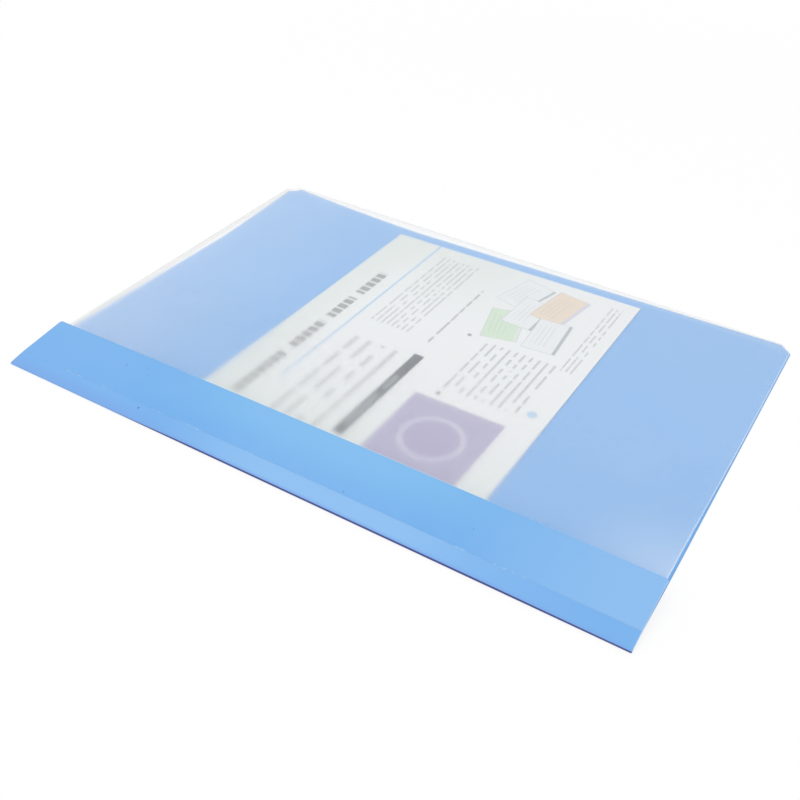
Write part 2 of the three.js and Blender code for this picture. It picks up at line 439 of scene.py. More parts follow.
def blueMaterial():
    s = blueSheet
    n = Nodes("bluePolypropylene")
    place, along, developed = n.sheetPlace()
    fromSpine = n.minus(developed, fileSize["across"])
    crease = s["stripWidth"] + s["creasePlace"]
    flapEnd = s["stripWidth"] + s["flapWidth"]
    # the tone drifts along the file and lightens towards the flap's inner edge
    broad = n.noise(place, s["broadScale"], 2.0)
    cloud = n.noise(place, s["cloudScale"], 4.0)
    colour = n.mix(n.ramp(broad, *s["broadRange"]), s["colour"], s["deepColour"])
    clouds = n.times(n.ramp(cloud, *s["cloudRange"]), s["cloudShare"])
    colour = n.mix(clouds, colour, s["paleAndSheenColour"])
    colour = n.mix(n.ramp(fromSpine, *s["backTone"]), colour, s["backColour"])
    inner = n.ramp(fromSpine, s["innerStart"], flapEnd, 0.0, s["innerShare"])
    inner = n.times(inner, n.ramp(n.away(along, s["innerMiddle"]), *s["innerAlong"]))
    colour = n.mix(inner, colour, s["innerColour"])
    # painted sheen: the strip is painted paler than the flap at mid length, and the flap paler at its ends
    onFlap = n.ramp(fromSpine, crease - s["creaseBlur"], crease + s["creaseBlur"])
    onStrip = n.times(n.minus(1.0, onFlap), n.ramp(fromSpine, *s["stripStart"]))
    stripSheen = n.ramp(n.away(along, s["stripSheenMiddle"]), *s["stripSheenAlong"])
    flapSheen = n.plus(n.ramp(along, *s["flapSheenRight"]), n.ramp(along, *s["flapSheenLeft"]))
    paintedSheen = n.plus(n.times(onStrip, stripSheen), n.times(onFlap, flapSheen))
    colour = n.mix(paintedSheen, colour, s["paleAndSheenColour"])
    # painted shade: at the left end the strip is darkened towards the spine
    footShade = n.times(n.ramp(fromSpine, *s["footShadeFromSpine"]), n.ramp(along, *s["footAlong"]))
    footShade = n.times(footShade, n.ramp(fromSpine, *s["footStart"]))
    colour = n.mix(footShade, colour, s["footShadeColour"])
    # painted shade: the fold's lower half is painted dark, and the strip is darkened just above it
    shadeTop = n.minus(n.ramp(along, *s["shadeTop"]), n.ramp(along, *s["shadeDrop"]))
    above = n.minus(fromSpine, shadeTop)
    onFold = n.ramp(fromSpine, *s["foldStart"])
    nearFoldShade = n.times(n.ramp(above, *s["nearFoldShade"]), onFold)
    colour = n.mix(nearFoldShade, colour, s["footShadeColour"])
    shade = n.times(n.ramp(above, *s["shadeEnd"]), onFold)
    colour = n.mix(n.times(shade, n.sheetSide()), colour, s["foldShade"])
    # cut edges that catch the light: the flap's and the far one, most of all over the
    # card, and the right end of the strip and the flap
    toRight = n.minus(fileSize["along"], along)
    toFlapEdge = n.away(fromSpine, flapEnd + s["flapEdgePlace"])
    toSide = n.math("MINIMUM", developed, toFlapEdge)
    colour = n.mix(n.ramp(toSide, *s["rim"]), colour, s["edgeColour"])
    overCard = n.ramp(n.away(along, s["gleamMiddle"]), *s["gleamAlong"])
    gleam = n.times(overCard, n.ramp(toFlapEdge, *s["gleam"]))
    colour = n.mix(gleam, colour, s["gleamColour"])
    rightRim = n.times(n.ramp(toRight, *s["rim"]), n.ramp(fromSpine, *s["rightRimStart"]))
    colour = n.mix(rightRim, colour, s["edgeColour"])
    # and cut edges in shade: the left end and the right end of the back
    backRim = n.times(n.ramp(toRight, *s["backRim"]), n.ramp(fromSpine, *s["backRimEnd"]))
    leftRim = n.ramp(along, *s["leftRim"])
    colour = n.mix(n.math("MAXIMUM", leftRim, backRim), colour, s["endColour"])
    # the crease pales in short scuffs where the plastic was stretched
    creaseLine = n.ramp(n.away(fromSpine, crease), *s["creaseLine"])
    stretched = n.ramp(n.noise(place, s["scuffScale"], 4.0, 0.7), *s["scuffRange"])
    scuffs = n.plus(s["scuffLeast"], n.times(stretched, s["scuffShare"]))
    colour = n.mix(n.times(creaseLine, scuffs), colour, s["scuffColour"])
    for speck in specks:
        dx = n.minus(along, speck["along"])
        dy = n.minus(fromSpine, speck["fromSpine"])
        radius = speck["radius"]
        dot = n.ramp(n.distance(dx, dy), radius / 2, radius, speck["strength"], 0.0)
        colour = n.mix(dot, colour, s["speckColour"])
    # long faint rubbing marks run across the panel
    stretch = n.add("ShaderNodeMapping")
    n.link(place, stretch.inputs["Vector"])
    stretch.inputs["Scale"].default_value = s["rubStretch"]
    stretch.inputs["Rotation"].default_value = s["rubTurn"]
    rub = n.ramp(n.noise(stretch.outputs[0], s["rubScale"], 3.0), *s["rubRange"])
    roughness = n.plus(s["roughness"], n.times(n.minus(cloud, 0.5), s["cloudRoughness"]))
    roughness = n.plus(roughness, n.times(rub, s["rubRoughness"]))
    grain = n.noise(place, s["grainScale"], 2.0)
    waves = n.noise(place, s["waveScale"], 1.0)
    normal = n.bump(grain, s["grainDepth"], s["grainStrength"])
    normal = n.bump(waves, s["waveDepth"], s["waveStrength"], normal)
    normal = n.bump(creaseLine, s["creaseDepth"], s["creaseStrength"], normal)
    shader = n.shader(Base_Color=colour, Roughness=roughness, IOR=s["ior"], Normal=normal)
    n.link(shader.outputs[0], n.output.inputs[0])
    return n.material


def shapeEnds(piece):
    # the curled corner draws in at the left, and beside the spine the back's right end
    # is held in a little and the flap's flares out
    s = blueSheet
    flapReach = s["stripWidth"] + s["flapWidth"]
    start = fileSize["along"] - fileSize["cornerCut"]
    for vertex in piece.data.vertices:
        along = vertex.co.x / mm + fileSize["along"] / 2
        across = vertex.co.y / mm + fileSize["across"] / 2
        height = vertex.co.z / mm
        curl = curlAt(along, across) / s["curlHeight"]
        vertex.co.x += s["curlDrawIn"] * curl ** 2 * (1 - along / s["curlAlongSpan"]) * mm
        if along > start:
            share = (along - start) / fileSize["cornerCut"]
            raised = smoothStep((height - s["thickness"]) / (s["spineHeight"] - 2 * s["thickness"]))
            taper = (1 - smoothStep(across / s["taperAcross"])) * (1 - raised)
            flare = across / flapReach * raised
            vertex.co.x += (s["flapFlare"] * flare - s["rightTaper"] * taper) * share * mm


def makeBlueSheet():
    s = blueSheet
    piece = buildSheet("blueSheet", blueColumns(), blueSection, s["thickness"])
    shapeEnds(piece)
    piece.data.materials.append(blueMaterial())
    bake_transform(piece)
    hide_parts("back_panel", "binding_flap")


# Frosted front cover

frontCover = {
    "thickness": 0.2,
    "spineInset": 1.6,
    "rightInset": 0.4,
    "underFlap": 0.4,
    "leftHeight": 2.6,
    "farLeftHeight": 6.3,
    "rightHeight": 0.75,
    "flapRise": 3.6,
    "rightDrop": 0.4,
    "riseSpan": 70.0,
    "dropSpan": 57.0,
    "humpSpan": 110.0,
    "rows": 90,
    "cutColumns": 4,
    "plainColumns": 110,
    "colour": (0.985, 0.992, 1.0, 1),
    # painted shade: the grey of the film's border past the curled sheet
    "borderShadeColour": (0.905, 0.905, 0.900, 1),
    "throughColour": (0.99, 0.995, 1.0, 1),
    "ior": 1.30,
    # the frosting, between two distances from the spine
    "frostAcross": (30.0, 140.0),
    "nearRoughness": 0.42,
    "farRoughness": 0.16,
    "leastRoughness": 0.06,
    "nearClearness": 0.935,
    "farClearness": 0.915,
    "gritScale": 900.0,
    "gritShare": 0.5,
    "patchScale": 2.6,
    "patchShare": 0.03,
    "grainScale": 1300.0,
    "grainDepth": 0.02,
    "grainStrength": 0.3,
    # haze, rims and borders as ramps: start and end in millimetres, strength at both
    "leftHaze": (0.0, 95.0, 0.05, 0.0),
    "edgeHaze": (0.0, 9.0, 0.08, 0.0),
    "cornerAlong": (262.0, 305.0, 0.0, 0.10),
    "cornerAcross": (34.0, 75.0, 1.0, 0.0),
    # painted highlight on the cut edges, as less clearness
    "endRimHighlight": (0.2, 0.6, 0.20, 0.0),
    "farRimHighlight": (2.0, 8.0, 0.05, 0.0),
    # painted shade at the film's left and far borders
    "leftBorderShade": (2.5, 4.5, 1.0, 0.0),
    "farBorderShade": (1.5, 4.5, 0.50, 0.0),
}


def flapUnderside(along, across):
    angle = stripAngle(along)
    creaseAcross, creaseHeight = flapPoint(along, blueSheet["stripWidth"])
    slope = angle if across < creaseAcross else angle - math.radians(blueSheet["creaseAngle"])
    return creaseHeight + (across - creaseAcross) * math.tan(slope) - blueSheet["thickness"] / 2


def coverAtFlap(along):
    c = frontCover
    rise = c["flapRise"] * smoothStep(along / c["riseSpan"])
    drop = c["rightDrop"] * smoothStep((along - fileSize["along"] + c["dropSpan"]) / c["dropSpan"])
    return c["leftHeight"] + rise - drop


def coverHeight(along, across):
    c = frontCover
    edge = flapPoint(along, blueSheet["stripWidth"] + blueSheet["flapWidth"])[0]
    atFlap = coverAtFlap(along)
    if across < edge:
        sag = flapUnderside(along, edge) - c["underFlap"] - atFlap
        return flapUnderside(along, across) - c["underFlap"] - sag * (across / edge) ** 2
    part = (across - edge) / (fileSize["across"] - edge)
    left = c["leftHeight"] + (c["farLeftHeight"] - c["leftHeight"]) * part
    share = along / fileSize["along"]
    level = left + (c["rightHeight"] - left) * share
    hump = atFlap - (c["leftHeight"] + (c["rightHeight"] - c["leftHeight"]) * share)
    return level + hump * (1 - smoothStep((across - edge) / c["humpSpan"]))


def coverSection(along):
    farEdge = fileSize["across"] - cornerHoldBack(along)
    rows = steps(frontCover["spineInset"], farEdge, frontCover["rows"])
    return [(across, coverHeight(along, across)) for across in rows], rows


def coverMaterial():
    c = frontCover
    n = Nodes("frostedPolypropylene")
    place, along, across = n.sheetPlace()
    # the frosting is grainy, and coarser towards the flap than at the far edge
    grit = n.noise(place, c["gritScale"], 1.0)
    coarse = n.ramp(across, *c["frostAcross"], c["nearRoughness"], c["farRoughness"])
    roughness = n.plus(coarse, n.times(n.minus(grit, 0.5), c["gritShare"]))
    roughness = n.math("MAXIMUM", roughness, c["leastRoughness"])
    # it scatters more light along the raised left edge
    clear = n.ramp(across, *c["frostAcross"], c["nearClearness"], c["farClearness"])
    leftHaze = n.plus(n.ramp(along, *c["leftHaze"]), n.ramp(along, *c["edgeHaze"]))
    clear = n.minus(clear, leftHaze)
    # and where it is pressed down at the flap's right end
    corner = n.times(n.ramp(along, *c["cornerAlong"]), n.ramp(across, *c["cornerAcross"]))
    clear = n.minus(clear, corner)
    # painted highlight at its cut edges, where it is made less clear so they show pale
    toEnd = n.math("MINIMUM", along, n.minus(fileSize["along"] - c["rightInset"], along))
    toFarEdge = n.minus(fileSize["across"], across)
    rim = n.math("MAXIMUM", n.ramp(toEnd, *c["endRimHighlight"]), n.ramp(toFarEdge, *c["farRimHighlight"]))
    clear = n.minus(clear, rim)
    patches = n.times(n.minus(n.noise(place, c["patchScale"], 2.0), 0.5), c["patchShare"])
    clear = n.math("SUBTRACT", clear, patches, clamp=True)
    # painted shade: a faint grey border painted where the film stands past the curled sheet
    borderShade = n.math("MAXIMUM", n.ramp(along, *c["leftBorderShade"]), n.ramp(toFarEdge, *c["farBorderShade"]))
    colour = n.mix(borderShade, c["colour"], c["borderShadeColour"])
    grain = n.noise(place, c["grainScale"], 1.0)
    normal = n.bump(grain, c["grainDepth"], c["grainStrength"])
    shader = n.shader(Base_Color=colour, Roughness=roughness, IOR=c["ior"],
                      Transmission_Weight=clear, Normal=normal)
    # lamps and scattered light reach the sheets below as they do through thin film
    through = n.add("ShaderNodeBsdfTransparent")
    through.inputs[0].default_value = c["throughColour"]
    path = n.add("ShaderNodeLightPath")
    light = n.math("MAXIMUM", path.outputs["Is Shadow Ray"], path.outputs["Is Diffuse Ray"])
    n.choose(light, shader.outputs[0], through.outputs[0])
    return n.material


def makeFrontCover():
    c = frontCover
    length = fileSize["along"]
    cut = fileSize["cornerCut"]
    columns = steps(0, cut, c["cutColumns"]) + steps(cut, length - cut, c["plainColumns"])[1:]
    columns += steps(length - cut, length - c["rightInset"], c["cutColumns"])[1:]
    piece = buildSheet("frontCover", columns, coverSection, c["thickness"])
    piece.data.materials.append(coverMaterial())
    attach(piece, "front")
    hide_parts("clear_cover")


# Insert card with generic print: tinted fields, bars for lines of text, plain sheets

insertCard = {
    "thickness": 0.25,
    "left": 84.0,
    "length": 146.5,
    "near": 24.4,
    "far": 211.4,
    "bottom": 0.65,
    "rows": 40,
    "columns": 30,
    "paper": (0.870, 0.880, 0.880, 1),
    "fibre": (0.700, 0.720, 0.700, 1),
    "greenTint": (0.735, 0.795, 0.745, 1),
    "ruleBlue": (0.360, 0.600, 0.850, 1),
    "slate": (0.085, 0.105, 0.125, 1),
    "ink": (0.110, 0.115, 0.125, 1),
    "textGrey": (0.300, 0.315, 0.330, 1),
    "lavender": (0.400, 0.360, 0.560, 1),
    "lavenderPale": (0.660, 0.640, 0.760, 1),
    "peach": (0.830, 0.690, 0.540, 1),
    "leafGreen": (0.640, 0.790, 0.600, 1),
    "coolGrey": (0.420, 0.470, 0.490, 1),
    "whiteSheet": (0.830, 0.850, 0.860, 1),
    "roughness": 0.55,
    "ior": 1.45,
    "fibreScale": 160.0,
    "fibreShare": 0.06,
    "fibreDepth": 0.02,
    "fibreStrength": 0.5,
    # pale green fields as ramps: where one starts and ends, and its strength at both
    "leftFade": (0.0, 30.0, 0.65, 0.0),
    "farFade": (120.0, 187.0, 0.0, 0.60),
    "farFadeAlong": (60.0, 110.0, 1.0, 0.0),
    "nearFade": (0.0, 60.0, 0.50, 0.0),
    # how soft the print's edges are, and how the bars break into words
    "softness": 0.15,
    "barSoftness": 0.05,
    "blockSoftness": 0.10,
    "wordShift": 7.3,
    "wordRange": (0.38, 0.42),
    # the plain sheets' rims and ruled lines
    "rimWidth": 0.6,
    "rimStrength": 0.8,
    "ruledPitch": 2.4,
    "ruledShare": 0.22,
    "ruledSoftness": 0.06,
    "ruledShift": 1.5,
    "ruledMargins": (9.0, 8.0),
    "ruledStrength": 0.35,
}

# Places on the card are measured from its near left corner: "x" towards the far
# edge, which is the way the print reads, and "y" towards the right edge.
plainFields = (
    {"x": 112.0, "y": 27.0, "width": 150.0, "height": 1.1, "ink": "ruleBlue", "strength": 1.0},
    {"x": 52.0, "y": 72.5, "width": 70.0, "height": 5.4, "ink": "slate", "strength": 1.0},
    {"x": 36.0, "y": 109.0, "width": 50.0, "height": 46.0, "ink": "lavender", "strength": 0.90},
)
ringDiscs = (
    {"x": 36.0, "y": 109.0, "radius": 15.0, "ink": "lavenderPale", "strength": 0.75},
    {"x": 36.0, "y": 109.0, "radius": 12.5, "ink": "lavender", "strength": 0.95},
)
# a row of bars is broken into words, and each word into blocks of the width "block"
cardRows = (
    {"x": 80.0, "y": 16.5, "width": 128.0, "height": 6.2, "pitch": 6.2, "share": 0.84, "word": 15.0,
     "block": 5.2, "gap": 0.24, "ink": "ink", "strength": 0.72},
    {"x": 48.0, "y": 50.0, "width": 72.0, "height": 30.0, "pitch": 7.5, "share": 0.36, "word": 9.0,
     "block": 2.6, "gap": 0.22, "ink": "ink", "strength": 0.42},
    {"x": 139.0, "y": 46.0, "width": 76.0, "height": 24.0, "pitch": 3.0, "share": 0.36, "word": 4.0,
     "block": 1.05, "gap": 0.34, "ink": "textGrey", "strength": 0.75},
    {"x": 128.0, "y": 70.0, "width": 58.0, "height": 2.6, "pitch": 2.6, "share": 0.50, "word": 4.0,
     "block": 1.2, "gap": 0.34, "ink": "ink", "strength": 0.75},
    {"x": 93.0, "y": 113.0, "width": 44.0, "height": 40.0, "pitch": 4.0, "share": 0.34, "word": 5.0,
     "block": 1.5, "gap": 0.32, "ink": "textGrey", "strength": 0.75},
    {"x": 146.0, "y": 137.0, "width": 66.0, "height": 7.8, "pitch": 2.6, "share": 0.38, "word": 3.6,
     "block": 0.95, "gap": 0.34, "ink": "textGrey", "strength": 0.75},
    {"x": 44.0, "y": 72.5, "width": 46.0, "height": 2.6, "pitch": 2.6, "share": 0.86, "word": 14.0,
     "block": 2.6, "gap": 0.26, "ink": "coolGrey", "strength": 0.85},
)
plainSheets = (
    {"x": 166.0, "y": 91.0, "width": 27.0, "height": 18.0, "turn": 14.0, "face": "whiteSheet",
     "edge": "coolGrey", "back": 1.3},
    {"x": 134.0, "y": 94.0, "width": 27.0, "height": 18.0, "turn": -14.0, "face": "leafGreen",
     "edge": "greenTint", "back": 1.6},
    {"x": 150.0, "y": 100.0, "width": 27.0, "height": 17.0, "turn": 3.0, "face": "whiteSheet",
     "edge": "coolGrey", "back": 1.5},
    {"x": 163.0, "y": 112.0, "width": 29.0, "height": 18.0, "turn": 9.0, "face": "peach",
     "edge": "lavenderPale", "back": 1.7},
    {"x": 136.0, "y": 117.0, "width": 28.0, "height": 17.0, "turn": -5.0, "face": "whiteSheet",
     "edge": "coolGrey", "back": 1.5},
)
smallDiscs = (
    {"x": 8.0, "y": 39.0, "radius": 1.7, "ink": "ink", "strength": 0.7},
    {"x": 116.0, "y": 84.0, "radius": 1.2, "ink": "ink", "strength": 0.7},
    {"x": 66.0, "y": 95.0, "radius": 1.3, "ink": "ink", "strength": 0.7},
    {"x": 75.0, "y": 138.0, "radius": 2.4, "ink": "ruleBlue", "strength": 0.8},
)


def cardSection(along):
    c = insertCard
    middle = c["bottom"] + c["thickness"] / 2
    rows = steps(c["near"], c["far"], c["rows"])
    return [(across, middle) for across in rows], [across - c["near"] for across in rows]


class Print:
    # draws flat shapes over the paper's colour
    def __init__(self, n, along, developed, paper):
        self.n = n
        self.x = developed
        self.y = n.minus(along, insertCard["left"])
        self.colour = paper

    def inside(self, distance, soft=insertCard["softness"]):
        return self.n.ramp(distance, -soft, soft, 1.0, 0.0)

    def placeFrom(self, shape):
        n = self.n
        dx = n.minus(self.x, shape["x"])
        dy = n.minus(self.y, shape["y"])
        turn = math.radians(shape.get("turn", 0.0))
        if not turn:
            return dx, dy
        cos, sin = math.cos(turn), math.sin(turn)
        turnedX = n.plus(n.times(dx, cos), n.times(dy, sin))
        turnedY = n.minus(n.times(dy, cos), n.times(dx, sin))
        return turnedX, turnedY

    def boxMask(self, dx, dy, width, height):
        n = self.n
        outX = n.minus(n.math("ABSOLUTE", dx), width / 2)
        outY = n.minus(n.math("ABSOLUTE", dy), height / 2)
        return self.inside(n.math("MAXIMUM", outX, outY))

    def paint(self, mask, ink, strength=1.0):
        factor = mask if strength == 1.0 else self.n.times(mask, strength)
        self.colour = self.n.mix(factor, self.colour, insertCard[ink])

    def box(self, box):
        dx, dy = self.placeFrom(box)
        self.paint(self.boxMask(dx, dy, box["width"], box["height"]), box["ink"], box["strength"])

    def disc(self, disc):
        dx, dy = self.placeFrom(disc)
        far = self.n.minus(self.n.distance(dx, dy), disc["radius"])
        self.paint(self.inside(far), disc["ink"], disc["strength"])

    def stripes(self, value, share, soft):
        # one stripe in each whole step of the value
        away = self.n.away(self.n.math("FRACT", value), 0.5)
        return self.inside(self.n.minus(away, share / 2), soft)

    def rows(self, row):
        # lines of text as bars, broken into words where a slow noise is low
        c = insertCard
        n = self.n
        dx, dy = self.placeFrom(row)
        mask = self.boxMask(dx, dy, row["width"], row["height"])
        line = n.math("DIVIDE", n.plus(dy, row["height"] / 2), row["pitch"])
        bar = self.stripes(line, row["share"], c["barSoftness"])
        place = n.add("ShaderNodeCombineXYZ")
        n.link(n.math("DIVIDE", dx, row["word"]), place.inputs[0])
        n.link(n.times(n.math("FLOOR", line), c["wordShift"]), place.inputs[1])
        words = n.ramp(n.noise(place.outputs[0], 1.0, 0.0), *c["wordRange"])
        block = n.math("DIVIDE", dx, row["block"])
        blocks = self.stripes(block, 1 - row["gap"], c["blockSoftness"])
        shown = n.times(n.times(mask, bar), n.times(words, blocks))
        self.paint(shown, row["ink"], row["strength"])

    def sheet(self, sheet):
        # a plain sheet with a thin rim, faint ruled lines and a thicker edge to one side
        c = insertCard
        n = self.n
        width, height = sheet["width"], sheet["height"]
        dx, dy = self.placeFrom(sheet)
        rim = self.boxMask(dx, dy, width + c["rimWidth"], height + c["rimWidth"])
        self.paint(rim, "coolGrey", c["rimStrength"])
        self.paint(self.boxMask(dx, dy, width, height), sheet["face"])
        edgeY = n.minus(dy, height / 2 - sheet["back"] / 2)
        self.paint(self.boxMask(dx, edgeY, width, sheet["back"]), sheet["edge"])
        line = n.math("DIVIDE", dy, c["ruledPitch"])
        ruled = self.stripes(line, c["ruledShare"], c["ruledSoftness"])
        marginX, marginY = c["ruledMargins"]
        ruledY = n.plus(dy, c["ruledShift"])
        inner = self.boxMask(dx, ruledY, width - marginX, height - marginY)
        self.paint(n.times(ruled, inner), "coolGrey", c["ruledStrength"])


def cardMaterial():
    c = insertCard
    n = Nodes("printedCard")
    place, along, developed = n.sheetPlace()
    fibre = n.noise(place, c["fibreScale"], 4.0)
    paper = n.mix(n.times(fibre, c["fibreShare"]), c["paper"], c["fibre"])
    p = Print(n, along, developed, paper)
    # pale green fields that fade into the paper from the left, far and near edges
    p.paint(n.ramp(p.y, *c["leftFade"]), "greenTint")
    p.paint(n.times(n.ramp(p.x, *c["farFade"]), n.ramp(p.y, *c["farFadeAlong"])), "greenTint")
    p.paint(n.ramp(p.x, *c["nearFade"]), "greenTint")
    # heading rule, slate bar and lavender panel with its ring
    for field in plainFields:
        p.box(field)
    for disc in ringDiscs:
        p.disc(disc)
    for sheet in plainSheets:
        p.sheet(sheet)
    for row in cardRows:
        p.rows(row)
    for disc in smallDiscs:
        p.disc(disc)
    # the other side is bare card
    colour = n.mix(n.sheetSide(), c["paper"], p.colour)
    normal = n.bump(fibre, c["fibreDepth"], c["fibreStrength"])
    shader = n.shader(Base_Color=colour, Roughness=c["roughness"], IOR=c["ior"], Normal=normal)
    n.link(shader.outputs[0], n.output.inputs[0])
    return n.material


def makeInsertCard():
    c = insertCard
    columns = steps(c["left"], c["left"] + c["length"], c["columns"])
    piece = buildSheet("insertCard", columns, cardSection, c["thickness"])
    piece.data.materials.append(cardMaterial())
    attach(piece, "back")
    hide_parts("insert_card")


# Two-prong fastener under the flap: base strip with its prongs, and the bar over it

fastener = {
    "centre": 18.0,
    "baseLength": 130.0,
    "baseWidth": 11.0,
    "baseBottom": 0.65,
    "baseThickness": 0.4,
    "barLength": 136.0,
    "barWidth": 9.0,
    "barBottom": 1.35,
    "barThickness": 0.7,
    "barGroove": 0.15,
    "groovePastProngs": 6.0,
    "prongSpacing": 80.0,
    "prongWidth": 5.0,
    "prongThickness": 0.3,
    "prongMiddle": 2.5,
    "prongReach": 32.0,
    "tipLength": 2.5,
    "tipShare": 0.35,
    "bendRadius": 0.6,
    "slotLength": 0.9,
    "slotWidth": 5.6,
    "slotTool": 3.0,
    "grooveTool": 1.0,
    "guideFromProng": 14.0,
    "guideWidth": 4.0,
    "guideThickness": 0.4,
    "guideTop": 3.35,
    "guideSunk": 0.1,
    "guideCorner": 0.4,
    "guideCornerEase": 0.12,
    "edgeRound": 0.09,
    "edgeAngle": 35,
    "endSteps": 20,
    "bendSteps": 6,
    "colour": (0.82, 0.82, 0.79, 1),
    "shadeColour": (0.70, 0.70, 0.66, 1),
    "roughness": 0.35,
    "ior": 1.49,
    "cloudScale": 60.0,
    "cloudShare": 0.15,
    "cloudRoughness": 0.12,
    "grainScale": 4000.0,
    "grainDepth": 0.02,
    "grainStrength": 0.4,
}


def solidFromRings(name, rings):
    # rings of equally many points, each ring closed, the first and last ones capped
    points = [point for ring in rings for point in ring]
    count = len(rings[0])
    faces = [tuple(reversed(range(count)))]
    faces.append(tuple(range((len(rings) - 1) * count, len(rings) * count)))
    for i in range(len(rings) - 1):
        for j in range(count):
            k = (j + 1) % count
            low, high = i * count, (i + 1) * count
            faces.append((low + j, low + k, high + k, high + j))
    mesh = bpy.data.meshes.new(name)
    middle = fastener["centre"] - fileSize["across"] / 2
    mesh.from_pydata([(x * mm, (y + middle) * mm, z * mm) for x, y, z in points], [], faces)
    shape = bmesh.new()
    shape.from_mesh(mesh)
    bmesh.ops.recalc_face_normals(shape, faces=shape.faces)
    shape.to_mesh(mesh)
    shape.free()
    solid = bpy.data.objects.new(name, mesh)
    bpy.context.scene.collection.objects.link(solid)
    return solid


def roundedStrip(name, length, width, bottom, thickness):
    radius = width / 2
    outline = []
    for side in (1, -1):
        for turn in steps(-90, 90, fastener["endSteps"]):
            x = side * (length / 2 - radius + radius * math.cos(math.radians(turn)))
            outline.append((x, side * radius * math.sin(math.radians(turn))))
    return solidFromRings(name, [[(x, y, z) for x, y in outline] for z in (bottom, bottom + thickness)])


def ribbon(name, path, widths, thickness, acrossX=False):
    # a flat strip bent along a path of (distance, height) points
    left = offsetLine(path, thickness / 2)
    right = offsetLine(path, -thickness / 2)
    rings = []
    for (a, za), (b, zb), width in zip(left, right, widths):
        ring = ((a, -width / 2, za), (a, width / 2, za), (b, width / 2, zb), (b, -width / 2, zb))
        rings.append([(w, d, z) for d, w, z in ring] if acrossX else list(ring))
    return solidFromRings(name, rings)


def shiftAlong(solid, x):
    for vertex in solid.data.vertices:
        vertex.co.x += x * mm
    return solid


def combine(solid, other, operation):
    # joins the other solid or cuts it away, and removes it
    modifier = solid.modifiers.new(operation, "BOOLEAN")
    modifier.operation = operation
    modifier.object = other
    modifier.solver = "EXACT"
    settle(solid)
    bpy.data.objects.remove(other)


def settle(solid):
    # applies the piece's modifiers to its mesh
    evaluated = solid.evaluated_get(bpy.context.evaluated_depsgraph_get())
    solid.data = bpy.data.meshes.new_from_object(evaluated)
    solid.modifiers.clear()


def finishFastener(solid, node, material):
    solid.data.materials.clear()
    solid.data.materials.append(material)
    bevel = solid.modifiers.new("edges", "BEVEL")
    bevel.width = fastener["edgeRound"] * mm
    bevel.segments = 2
    bevel.limit_method = "ANGLE"
    bevel.angle_limit = math.radians(fastener["edgeAngle"])
    bevel.use_clamp_overlap = True
    settle(solid)
    solid.data.shade_smooth()
    solid.data.set_sharp_from_angle(angle=sharpAngle)
    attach(solid, "back")
    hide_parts(node)


def makeFastenerBase(material):
    f = fastener
    base = roundedStrip("fastenerBase", f["baseLength"], f["baseWidth"], f["baseBottom"], f["baseThickness"])
    root = f["prongSpacing"] / 2
    bend = f["bendRadius"]
    tip = root - f["prongReach"]
    tipLength, tipShare = f["tipLength"], f["tipShare"]
    corner = (root - bend, f["prongMiddle"] - bend)
    for side in (1, -1):
        # each prong rises from the base and lies folded inwards over the bar
        path = [(root, f["baseBottom"] + f["baseThickness"] / 2), (root, corner[1])]
        for turn in steps(0, 90, f["bendSteps"])[1:]:
            x = corner[0] + bend * math.cos(math.radians(turn))
            path.append((x, corner[1] + bend * math.sin(math.radians(turn))))
        path += [(x, f["prongMiddle"]) for x in steps(corner[0], tip + tipLength, f["bendSteps"])[1:]]
        widths = [f["prongWidth"]] * len(path)
        for part in steps(0, 1, f["bendSteps"])[1:]:
            path.append((tip + tipLength - tipLength * part, f["prongMiddle"]))
            widths.append(f["prongWidth"] * (tipShare + (1 - tipShare) * math.sqrt(1 - part ** 2)))
        prong = ribbon("prong", [(side * x, z) for x, z in path], widths, f["prongThickness"])
        combine(base, prong, "UNION")
    finishFastener(base, "fastener_base", material)


def makeCompressorBar(material):
    f = fastener
    bar = roundedStrip("compressorBar", f["barLength"], f["barWidth"], f["barBottom"], f["barThickness"])
    top = f["barBottom"] + f["barThickness"]
    # a shallow groove along the bar takes the folded prongs
    grooveLength = f["prongSpacing"] + 2 * f["groovePastProngs"]
    groove = roundedStrip("groove", grooveLength, f["slotWidth"], top - f["barGroove"], f["grooveTool"])
    combine(bar, groove, "DIFFERENCE")
    root = f["prongSpacing"] / 2
    slotEnds = (root - f["slotLength"] / 2, root + f["slotLength"] / 2)
    # each prong passes through a slot and under a guide that can slide along the bar
    half = f["slotWidth"] / 2 + f["guideThickness"]
    crown = f["guideTop"] - f["guideThickness"] / 2
    corner, ease = f["guideCorner"], f["guideCornerEase"]
    arch = [(-half, top - f["guideSunk"]), (-half, crown - corner)]
    arch += [(-half + ease, crown - ease), (-half + corner, crown)]
    arch += [(-d, z) for d, z in reversed(arch)]
    for side in (1, -1):
        slotPath = [(side * x, f["slotTool"] / 2) for x in slotEnds]
        slot = ribbon("slot", slotPath, [f["slotWidth"]] * 2, f["slotTool"])
        combine(bar, slot, "DIFFERENCE")
        guide = ribbon("guide", arch, [f["guideWidth"]] * len(arch), f["guideThickness"], acrossX=True)
        combine(bar, shiftAlong(guide, side * (root - f["guideFromProng"])), "UNION")
    finishFastener(bar, "compressor_bar", material)


